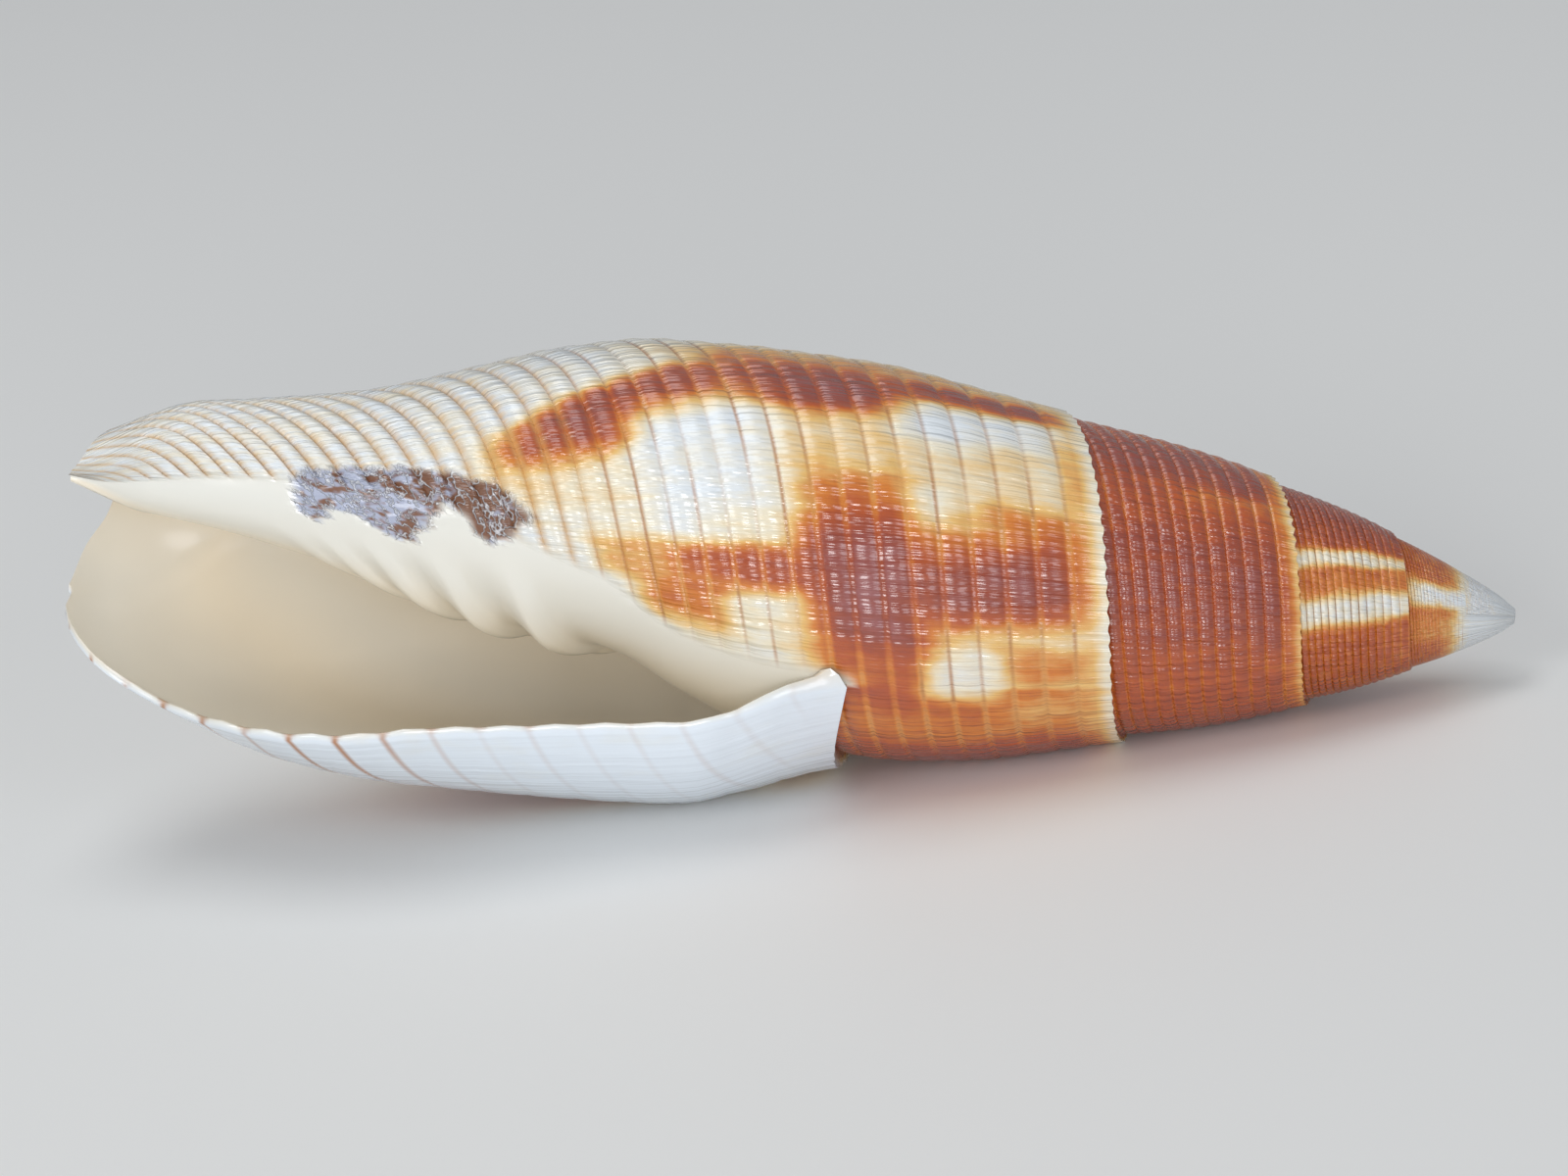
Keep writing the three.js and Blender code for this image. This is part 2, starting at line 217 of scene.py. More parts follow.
def folds(along, turn):
    cord = along / suture(turn)
    shown = (1 - smoothstep(turn, FOLD_FULL, FOLD_START)) * (along >= FOLD_FROM)
    return shown * sum(height * np.exp(-(((cord - crest) / FOLD_WIDTH) ** 2)) for crest, height in FOLDS)


def outer_radius(along, turn):
    front = 1 - smoothstep(turn, *TIP_TURNS)
    tip = 1 - TIP_SHARE * smoothstep(along, TIP_FROM, TIP_END) ** TIP_CURVE * front
    return (plain_radius(along, turn) + ledge(along, turn) + folds(along, turn)) * tip


def roof(turn):
    return suture(turn) + ROOF


def inner_radius(along, turn, growth):
    wall = WALL + (CANAL_WALL - WALL) * np.clip((along - CANAL_THIN_FROM) / CANAL_THIN_REACH, 0, 1)
    thick = LIP_EDGE + (wall - LIP_EDGE) * smoothstep(LIP_TURN - growth, 0, LIP_TAPER)
    pillar = outer_radius(along, turn - 360) + pillar_relief(along)
    opened = np.clip((along - roof(turn)) / ROOF_ROUND, 0, 1)
    return pillar + (outer_radius(along, turn) - thick - pillar) * np.sqrt(1 - (1 - opened) ** 2)


def ridge_of(cord):
    """The number of the cord counted from the suture; whole numbers are grooves."""
    x = np.maximum(cord - 1, 0)
    return CORDS_FIRST * x + CORDS_MORE * x * x


def cord_of(ridge):
    return 1 + (np.sqrt(CORDS_FIRST**2 + 4 * CORDS_MORE * ridge) - CORDS_FIRST) / (2 * CORDS_MORE)


def from_groove(ridge):
    return np.abs(ridge - np.round(ridge))


# Masks over the surface, from turn and cord
WORN_PATCH = [(2.3, 9), (2.36, 22), (2.5, 30), (2.62, 33), (2.77, 32), (2.82, 22), (2.86, 0), (2.83, -7),
              (2.76, 6), (2.7, 0), (2.66, -11), (2.6, -9), (2.54, 6), (2.48, 13), (2.43, -5), (2.38, -2)]
TURN_TO_CORD = 0.0075  # degrees made as long as cords, for distances over the surface
RAGGED_CORD, RAGGED_TURN = 0.012, 1.6
WORN_EDGE = (-0.006, 0.012)


def ripple(x, y, seed):
    """Smooth irregular waves between about -1 and 1, from a few sines of unlike lengths and directions."""
    rng = np.random.default_rng(seed)
    total = 0
    for octave in range(6):
        angle, phase = rng.uniform(0, 2 * np.pi, 2)
        size = 0.8 * 1.55**octave
        total = total + np.sin(size * (x * np.cos(angle) + y * np.sin(angle)) + phase) / 1.25**octave
    return total / 3


def worn_mask(turn, cord):
    """1 inside the worn patch above the folds, with a ragged edge."""
    x = cord + RAGGED_CORD * ripple(60 * cord, turn * 0.4, 5)
    y = (turn + RAGGED_TURN * ripple(70 * cord, turn * 0.5, 6)) * TURN_TO_CORD
    corners = np.array(WORN_PATCH) * (1, TURN_TO_CORD)
    inside = np.zeros(np.shape(x), bool)
    nearest = np.full(np.shape(x), np.inf)
    for (x0, y0), (x1, y1) in zip(corners, np.roll(corners, -1, 0)):
        dx, dy = x1 - x0, y1 - y0
        crosses = (y0 > y) != (y1 > y)
        inside ^= crosses & (x < dx * (y - y0) / (dy + 1e-12) + x0)
        share = np.clip(((x - x0) * dx + (y - y0) * dy) / (dx**2 + dy**2), 0, 1)
        nearest = np.minimum(nearest, np.hypot(x - x0 - share * dx, y - y0 - share * dy))
    return smoothstep(np.where(inside, nearest, -nearest), *WORN_EDGE)


def callus_mask(turn, cord):
    """1 on the smooth inner lip."""
    below = smoothstep(callus_edge(cord) - turn, -CALLUS_SOFT, CALLUS_SOFT)
    return below * (turn > LAST_START - 1) * (cord > CALLUS_TOP)


def lip_mask(growth):
    """1 on the white band behind the lip."""
    return smoothstep(growth, LIP_TURN - LIP_BAND, LIP_TURN - LIP_SOLID)


# Colour strokes over the whorls, laid one over another: cord, turn, half width in cord, half width
# in turn, degrees the stroke leans per unit of cord, and tone (0 white, 0.2 cream, 0.4 ochre, 0.6 orange,
# 0.85 red-brown, 1 mauve)
BODY_STROKES = [
    (1.45, 77, 0.4, 6, 0, 0.42), (1.22, 65, 0.28, 7, -8, 0.86), (1.6, 59, 0.17, 13, 0, 0.92),
    (2.02, 41, 0.3, 9, -58, 0.6), (2.04, 50, 0.31, 9.5, -58, 0.87), (1.23, 50, 0.24, 8, -14, 0.02),
    (1.88, 31, 0.17, 18, -20, 0.03), (2.16, 17, 0.17, 13, -20, 0.16), (1.33, 32, 0.36, 9, -8, 0.24),
    (1.1, 17, 0.16, 6, 0, 0.52), (1.24, -2, 0.26, 16, -12, 0.88), (1.57, -6, 0.13, 31, 0, 0.97),
    (1.86, -3, 0.22, 7, 0, 0.78), (1.98, -13, 0.11, 13, 10, 0.62), (1.12, -31, 0.16, 9, 0, 0.5),
    (1.5, -36, 0.1, 10, 0, 0.72), (1.355, -34, 0.11, 8, 0, 0.08), (1.25, -55, 0.4, 11, 0, 0.58),
    (1.02, 36, 0.045, 15, 0, 0.5), (1.6, 36, 0.13, 8, 0, 0.27), (1.1, -48, 0.16, 9, 0, 0.45),
    (1.25, -82, 0.5, 16, 0, 0.86), (2.1, -3, 0.1, 8, 10, 0.42),
    (1.3, 104, 0.35, 13, -12, 0.62), (1.8, 102, 0.2, 12, -25, 0.08), (1.25, 128, 0.28, 15, -10, 0.9),
    (1.66, 122, 0.16, 17, -20, 0.7), (1.95, 128, 0.2, 17, -30, 0.86), (1.5, 150, 0.12, 12, -20, 0.04),
    (1.16, 158, 0.16, 12, -10, 0.3), (1.8, 160, 0.2, 11, -20, 0.06), (1.24, 186, 0.24, 15, -10, 0.86),
    (1.62, 192, 0.22, 17, -15, 0.96), (2.0, 184, 0.16, 13, -30, 0.58), (1.28, 216, 0.2, 10, -10, 0.06),
    (1.56, 221, 0.12, 10, -10, 0.36), (1.84, 216, 0.18, 12, -20, 0.1), (1.12, 243, 0.18, 15, 0, 0.7),
    (1.5, 246, 0.24, 14, -10, 0.88), (1.86, 243, 0.16, 11, -20, 0.62),
]
SPIRE_STROKES = [
    (1.4, -120, 0.6, 14, 0, 0.5), (1.4, -150, 0.6, 16, 0, 0.12), (1.4, -190, 0.6, 24, 0, 0.86),
    (1.4, -228, 0.6, 10, 0, 0.2), (1.4, -258, 0.6, 20, 0, 0.62), (1.4, -300, 0.8, 18, 0, 0.87),
    (1.2, -319, 0.4, 7, 0, 0.62), (1.4, -358, 0.9, 32, 0, 0.86), (1.4, -408, 0.9, 22, 0, 0.74),
    (1.5, -450, 0.9, 26, 0, 0.82), (1.4, -505, 0.8, 13, 0, 0.16), (1.4, -545, 0.8, 24, 0, 0.84),
    (1.4, -588, 0.8, 12, 0, 0.22), (1.4, -650, 0.8, 36, -6, 0.84), (1.5, -692, 0.8, 6, -14, 0.14),
    (1.5, -705, 0.8, 6.5, -14, 0.6), (1.5, -723, 0.8, 11, -14, 0.06), (1.4, -765, 0.8, 28, -6, 0.7),
    (1.4, -830, 0.8, 20, 0, 0.85), (1.4, -880, 0.8, 14, 0, 0.2), (1.4, -930, 0.8, 24, 0, 0.8),
    (1.4, -1030, 0.8, 22, 0, 0.66), (1.4, -1065, 0.8, 14, 0, 0.04), (1.4, -1100, 0.8, 16, 0, 0.5),
]
TONE_BASE, TONE_SPIRE, TONE_RIM, TONE_EDGE, TONE_APEX = 0.06, 0.68, 0.36, 0.1, 0.0
UPPER_TINT, UPPER_CORDS = 0.12, (1.7, 2.1)  # the last whorl is creamier above its base
WARP_CORD, WARP_TURN = 0.03, 2.2  # how far the edges of the strokes wander
STROKE_SIDES, STROKE_ENDS = 1.6, 2.2  # how squarely a stroke stops across and down
RIM_CORDS, RIM_SHARE = (0.5, 1.3), 0.6
EDGE_CORDS, EDGE_SHARE = 0.3, 0.85
RIM_FROM, APEX_WHITE = (6, 12), (1.9, 3.4)  # along where rims start to pale, and where the white apex ends


def tone_of(turn, cord, along):
    """How dark the glaze is, from white through cream and orange to red-brown."""
    last_whorl = TONE_BASE + UPPER_TINT * (1 - smoothstep(cord, *UPPER_CORDS))
    tone = np.where(turn < LAST_START, TONE_SPIRE, last_whorl)
    warp_cord = cord + WARP_CORD * ripple(9 * cord, turn * 0.09, 1)
    warp_turn = turn + WARP_TURN * ripple(11 * cord, turn * 0.12, 2)
    for at_cord, at_turn, half_cord, half_turn, lean, stroke in BODY_STROKES + SPIRE_STROKES:
        across = (warp_turn - at_turn - lean * (warp_cord - at_cord)) / half_turn
        down = (warp_cord - at_cord) / half_cord
        cover = np.exp(-((across**2) ** STROKE_SIDES) - (down**2) ** STROKE_ENDS)
        tone = tone + (stroke - tone) * cover
    ridge = ridge_of(cord)
    rim = (1 - smoothstep(ridge, *RIM_CORDS)) * smoothstep(along, *RIM_FROM)
    tone = tone + (TONE_RIM - tone) * RIM_SHARE * rim
    edge = np.exp(-((ridge / EDGE_CORDS) ** 2)) * smoothstep(along, *RIM_FROM)
    tone = tone + (TONE_EDGE - tone) * EDGE_SHARE * edge
    apex = 1 - smoothstep(along, *APEX_WHITE)
    return tone + (TONE_APEX - tone) * apex


def bead(turn):
    """Beads along a suture, uneven in size and spacing, gone at the lip."""
    uneven = ripple(turn * 0.07, 0, 7)
    wave = 0.5 + 0.5 * np.cos(np.radians(BEADS_PER_TURN * turn) + BEAD_UNEVEN * uneven)
    return wave * (0.75 + 0.35 * ripple(turn * 0.11, 3, 8)) * (1 - smoothstep(turn, *BEADS_END))


def relief(along, turn, growth):
    """Cords, the beaded rim under each suture, the callus and the worn patch, in mm of radius."""
    cord = along / suture(turn)
    ridge = ridge_of(cord)
    smooth = callus_mask(turn, cord)
    grown = smoothstep(along, *RELIEF_FROM)
    base = smoothstep(cord, *BASE_CORDS)
    depth = GROOVE_DEPTH + (BASE_GROOVE_DEPTH - GROOVE_DEPTH) * base
    rise = CORD_RISE + (BASE_CORD_RISE - CORD_RISE) * base
    groove = np.exp(-((from_groove(ridge) / GROOVE_WIDTH) ** 2))
    crest = 1 - (1 - 2 * from_groove(ridge)) ** CREST_FLATNESS
    fade = (1 - smooth) * (1 - LIP_CALM * lip_mask(growth)) * smoothstep(ridge, *FIRST_GROOVE)
    lip_side = turn > BACK_TURN
    canal_from, canal_to = (np.where(lip_side, *pair) for pair in zip(LIP_CANAL_FADE, CANAL_FADE))
    fade = fade * (1 - smoothstep(along, canal_from, canal_to))
    beads = BEAD_HEIGHT * bead(turn) * np.exp(-((ridge / BEAD_RIM) ** 2))
    scaly = 1 - WORN_ROUGH + WORN_ROUGH * ripple(85 * cord, turn * 0.9, 3)
    rough = worn_mask(turn, cord) * WORN_DEPTH * scaly
    thick = CALLUS_RISE * smooth * (1 - smoothstep(along, *CALLUS_FADE))
    return grown * (beads + (rise * crest - depth * groove) * fade) + thick - rough


def pillar_relief(along):
    """The relief where the callus runs in over the pillar, which goes on unchanged inside."""
    return relief(along, np.full_like(along, LAST_START), LAST_START)


class Builder:
    """Collects grids of surface points and the faces between them."""

    def __init__(self):
        self.points = []
        self.turns, self.alongs, self.growths, self.insides = [], [], [], []
        self.count = 0
        self.quads = []
        self.triangles = []

    def grid(self, along, turn, radius, growth, inside=0):
        along, turn, radius, growth = np.broadcast_arrays(along, turn, radius, growth)
        angle = np.radians(turn)
        lift = CANAL_BEND * (np.maximum(along - BEND_FROM, 0) / BEND_REACH) ** 2
        places = np.stack([-along, -radius * np.cos(angle), radius * np.sin(angle) + lift], -1)
        self.points.append(places.reshape(-1, 3))
        for kept, values in ((self.turns, turn), (self.alongs, along), (self.growths, growth)):
            kept.append(values.ravel())
        self.insides.append(np.full(along.size, float(inside)))
        ids = np.arange(self.count, self.count + along.size).reshape(along.shape)
        self.count += along.size
        return ids

    def sheet(self, ids):
        corners = [ids[:-1, :-1], ids[1:, :-1], ids[1:, 1:], ids[:-1, 1:]]
        self.quads.append(np.stack(corners, -1).reshape(-1, 4))

    def fan(self, ring, centre):
        self.triangles.append(np.stack([ring, np.roll(ring, -1), np.full(len(ring), centre)], -1))

    def welded(self):
        """Points that fall together become one; faces that collapsed are dropped."""
        points = np.concatenate(self.points)
        key = np.round(points * WELD).astype(np.int64)
        _, first, back = np.unique(key, axis=0, return_index=True, return_inverse=True)
        back = back.ravel()
        faces = []
        for corners in [*np.concatenate(self.quads), *np.concatenate(self.triangles)]:
            ring = list(dict.fromkeys(back[corners].tolist()))
            if len(ring) > 2:
                faces.append(ring)
        fields = (self.turns, self.alongs, self.growths, self.insides)
        return points[first], faces, *(np.concatenate(values)[first] for values in fields)


def build_rows():
    """Cords of the rows, with one row each on the last suture and the roof of the mouth."""
    steps = np.array(ROW_STEPS)
    whole = np.arange(int(ridge_of(LAST_CORD)) + 1)
    rows = np.r_[cord_of((whole[:, None] + steps).ravel()), PILLAR_ROWS]
    seam = suture(LIP_TURN) / suture(LAST_START)
    mouth_roof = roof(LIP_TURN) / suture(LAST_START)
    seam_row, roof_row = (int(np.argmin(abs(rows - exact))) for exact in (seam, mouth_roof))
    rows[seam_row], rows[roof_row] = seam, mouth_roof
    return rows, seam_row, roof_row


def column_turn(column):
    return LAST_START + np.asarray(column, float)[:, None] * 360 / COLUMNS


def lean_turn(turn, cord):
    """Near the lip the columns lean back with the growth lines, and the lip ends in scallops."""
    size = SCALLOP * (0.3 + 0.7 * smoothstep(cord, *SCALLOP_FULL)) * (1 - smoothstep(cord, *SCALLOP_GONE))
    scallop = size * np.cos(2 * np.pi * ridge_of(cord))
    near_lip = np.exp(-(LIP_TURN - turn) / SCALLOP_REACH) * (cord > SCALLOP_FIRST)
    leaning = turn - lip_lag(cord) * smoothstep(turn, *LEAN_TURNS)
    return leaning - np.degrees(scallop / LIP_RADIUS) * near_lip


def rim_beads(turn, cord, along):
    """The beaded rim reaches up over the whorl above it."""
    rim = np.exp(-((ridge_of(cord) / BEAD_EDGE) ** 2)) * smoothstep(along, *BEADS_FROM)
    return along - BEAD_REACH * rim * bead(turn)


def grow_shell():
    rows, seam_row, roof_row = build_rows()
    b = Builder()

    # Body whorl, from the pillar round to the lip
    growth = column_turn(np.arange(COLUMNS + 1))
    turn = lean_turn(growth, rows)
    along = np.minimum(rows * suture(turn), canal_end(turn))
    radius = outer_radius(along, turn) + relief(along, turn, growth)
    body = b.grid(rim_beads(turn, rows, along), turn, radius, growth)
    b.sheet(body)

    # Spire whorls
    spire_columns = round(SPIRE_TURNS * COLUMNS)
    spire_rows = rows[rows < SPIRE_LAST_CORD]
    growth = column_turn(np.arange(-spire_columns, 1))
    turn = growth + 0 * spire_rows
    along = np.minimum(np.maximum(spire_rows * suture(turn), APEX_CAP), next_suture(turn))
    radius = outer_radius(along, turn) + relief(along, turn, growth)
    raised = np.maximum(rim_beads(turn, along / suture(turn), along), APEX_CAP)
    spire = b.grid(raised, turn, radius, growth)
    b.sheet(spire)

    # Smooth apex
    share = np.linspace(0, 1, APEX_RINGS + 1) ** APEX_RING_CURVE
    growth = column_turn(np.r_[np.arange(COLUMNS), 0] - spire_columns)
    along = APEX_CAP * share + 0 * growth
    apex = b.grid(along, growth, np.where(share > 0, pillar_side(along), 0), growth)
    b.sheet(apex)

    # Ledges between the foot of one whorl and the rim of the next
    shoulder = np.r_[spire[COLUMNS:-1, 0], body[:, 0]]
    foot_turn = column_turn(np.arange(-spire_columns, 1)).ravel()
    foot_along = next_suture(foot_turn)
    foot_radius = outer_radius(foot_along, foot_turn) + relief(foot_along, foot_turn, foot_turn)
    foot = b.grid(foot_along, foot_turn + 360, foot_radius, foot_turn + 360)
    b.sheet(np.stack([foot, shoulder], 1))

    # Inside of the wall, from the lip back into the whorl
    mouth_columns = round(MOUTH_DEPTH / 360 * COLUMNS)
    growth = column_turn(np.arange(COLUMNS - mouth_columns, COLUMNS + 1))
    turn = lean_turn(growth, rows)
    along = np.minimum(np.maximum(rows * suture(turn), roof(turn)), canal_end(turn))
    wall = b.grid(along, turn, inner_radius(along, turn, growth), growth, inside=1)
    b.sheet(wall[::-1])

    # Pillar and folds
    growth = column_turn(np.arange(-mouth_columns, 1))
    turn = growth + 0 * rows
    along = np.minimum(np.maximum(rows * suture(turn), roof(turn + 360)), canal_end(turn))
    radius = outer_radius(along, turn) + pillar_relief(along)
    pillar = b.grid(along, turn, radius, growth, inside=1)
    b.sheet(pillar)

    # Rounded edge of the lip
    points = np.concatenate(b.points)
    outside, inner = points[body[-1]], points[wall[-1]]
    lip_turns = lean_turn(np.full((1, 1), float(LIP_TURN)), rows)[0]
    angle = np.radians(lip_turns)
    ahead = np.stack([0 * angle, np.sin(angle), np.cos(angle)], -1)
    thick = np.linalg.norm(inner - outside, axis=1, keepdims=True)
    rounded = (1 - smoothstep(rows, *LIP_ROUND_GONE))[:, None]
    edge = [body[-1]]
    for share in np.linspace(0, 1, LIP_ROUND)[1:-1]:
        bulge = 0.5 * math.sin(math.pi * share) * rounded
        edge_points = outside + (inner - outside) * share + ahead * thick * bulge
        ids = b.grid(-edge_points[:, 0], lip_turns, 0 * lip_turns, LIP_TURN, inside=share)
        b.points[-1] = edge_points
        edge.append(ids)
    edge.append(wall[-1])
    b.sheet(np.stack(edge))

    # Corner of the lip on the suture, and the rim at the canal end
    below_seam = range(seam_row, roof_row)
    b.triangles.append(np.array([(body[-1, 0], body[0, row], body[0, row + 1]) for row in below_seam]))
    b.sheet(np.stack([body[COLUMNS - mouth_columns:, -1], wall[:, -1]], 1))

    # Tip of the pillar
    ring = np.r_[pillar[:, -1], body[1:COLUMNS - mouth_columns + 1, -1], wall[0, -1]]
    centre = b.grid(np.array([TIP_CENTRE]), np.zeros(1), np.zeros(1), np.zeros(1))[0]
    b.fan(ring, centre)

    # Far end of the hollow
    b.sheet(np.stack([wall[0], pillar[0]]))
    return b.welded()


def shell_axes():
    """How the shell's own axes are turned in the frame, and where its apex is."""
    turned = Matrix.Rotation(math.radians(NOSE_DOWN), 3, "Y") @ Matrix.Rotation(math.radians(-ROLL), 3, "X")
    apex = max((v.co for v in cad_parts["shell"].data.vertices), key=lambda co: co.x)
    return turned, Vector(apex)


def to_frame(points):
    """From the shell's own axes, in mm from the apex, to the frame, in metres."""
    turned, apex = shell_axes()
    placed = points @ np.array(turned).T * MM + np.array(apex)
    placed[:, 2] = np.maximum(placed[:, 2], 0)
    return placed


def shell_piece():
    points, faces, turn, along, growth, inside = grow_shell()
    cord = along / suture(turn)
    ridge = ridge_of(cord)
    slant = np.clip(1 - (LIP_TURN - growth) / LIP_BAND, 0, 1) ** STRIPE_CURVE
    at_edge = smoothstep(LIP_TURN - growth, *DASH_BACK) * (turn > BACK_TURN)
    mesh = bpy.data.meshes.new("shell_surface")
    mesh.from_pydata(to_frame(points).tolist(), [], faces)
    mesh.shade_smooth()
    mesh.set_sharp_from_angle(angle=math.radians(SHARP_ANGLE))
    fields = {
        "tone": tone_of(turn, cord, along),
        "ridge": ridge,
        "growth": growth,
        "smooth": np.maximum(inside, callus_mask(turn, cord)),
        "worn": worn_mask(turn, cord) * (1 - inside),
        "lip": lip_mask(growth) * (1 - inside),
        "deep": np.where(growth < PILLAR_GROWTH, smoothstep(LAST_START - growth, *DEEP_TURNS), inside),
        "stripe": ridge - STRIPE_SHIFT * slant,
        "dash": at_edge * smoothstep(cord, *DASH_FULL) * (1 - smoothstep(cord, *DASH_GONE)),
    }
    for name, values in fields.items():
        mesh.attributes.new(name, "FLOAT", "POINT").data.foreach_set("value", values.astype(np.float32))
    piece = bpy.data.objects.new("shell_surface", mesh)
    bpy.context.scene.collection.objects.link(piece)
    return piece


# Materials
class Nodes:
    """Short calls for making and linking shader nodes."""

    def __init__(self, material):
        material.use_nodes = True
        self.tree = material.node_tree
        self.shader = self.tree.nodes["Principled BSDF"]

    def put(self, socket, value):
        if isinstance(value, bpy.types.NodeSocket):
            self.tree.links.new(value, socket)
        else:
            socket.default_value = value

    def new(self, kind, inputs, output=0, **settings):
        node = self.tree.nodes.new(kind)
        for name, value in settings.items():
            setattr(node, name, value)
        for name, value in inputs.items():
            self.put(node.inputs[name], value)
        return node.outputs[output]

    def field(self, name):
        return self.new("ShaderNodeAttribute", {}, "Fac", attribute_name=name)

    def math(self, operation, a, b=0.0):
        return self.new("ShaderNodeMath", {0: a, 1: b}, operation=operation)

    def vector(self, x, y, z=0.0):
        return self.new("ShaderNodeCombineXYZ", {"X": x, "Y": y, "Z": z})

    def stretched(self, x, x_scale, y, y_scale):
        return self.vector(self.math("MULTIPLY", x, x_scale), self.math("MULTIPLY", y, y_scale))

    def noise(self, vector, scale, detail=2.0, rough=0.55):
        return self.new("ShaderNodeTexNoise",
                        {"Vector": vector, "Scale": scale, "Detail": detail, "Roughness": rough}, "Fac")

    def ramp_to(self, value, low, high, bottom=0.0, top=1.0):
        inputs = {"Value": value, "From Min": low, "From Max": high, "To Min": bottom, "To Max": top}
        return self.new("ShaderNodeMapRange", inputs, interpolation_type="SMOOTHSTEP")

    def mix(self, share, a, b):
        node = self.tree.nodes.new("ShaderNodeMix")
        node.data_type = "RGBA"
        for socket, value in zip((node.inputs[0], node.inputs[6], node.inputs[7]), (share, a, b)):
            self.put(socket, value)
        return node.outputs[2]

    def colours(self, value, stops):
        node = self.tree.nodes.new("ShaderNodeValToRGB")
        ramp = node.color_ramp
        while len(ramp.elements) < len(stops):
            ramp.elements.new(0.5)
        for element, (place, colour) in zip(ramp.elements, stops):
            element.position = place
            element.color = colour
        self.put(node.inputs[0], value)
        return node.outputs[0]


def rgb(red, green, blue):
    """A colour as seen, from 0 to 255, as the shader takes it."""
    shares = (red / 255, green / 255, blue / 255)
    linear = [c / 12.92 if c <= 0.04045 else ((c + 0.055) / 1.055) ** 2.4 for c in shares]
    return (*linear, 1.0)


# Tones of the glaze
GLAZE = [
    (0.0, rgb(224, 229, 232)),
    (0.17, rgb(234, 222, 194)),
    (0.34, rgb(230, 186, 112)),
    (0.52, rgb(210, 124, 46)),
    (0.7, rgb(178, 82, 36)),
    (0.86, rgb(148, 66, 46)),
    (1.0, rgb(150, 86, 84)),
]
CREAM, CREAM_DEEP = rgb(228, 228, 221), rgb(240, 227, 203)
LIP_WHITE = rgb(228, 236, 244)
LINE_BROWN = rgb(176, 116, 66)
WORN_BROWN, WORN_GREY, WORN_PALE = rgb(122, 80, 56), rgb(172, 178, 198), rgb(232, 233, 238)
DASH_BROWN, HOLLOW_TAN = rgb(164, 112, 66), rgb(214, 172, 112)
GROWTH_TO_MM = 0.15
GLAZE_ROUGHNESS, GLAZE_IOR = 0.28, 1.6
COAT_WEIGHT, COAT_ROUGHNESS = 0.5, 0.12
BUMP_STRENGTH, BUMP_DISTANCE = 0.7, 0.00028  # the distance in metres
FLOOR_COLOUR, FLOOR_ROUGHNESS = rgb(236, 235, 232), 0.6
FLOOR_HALF = 0.6  # metres


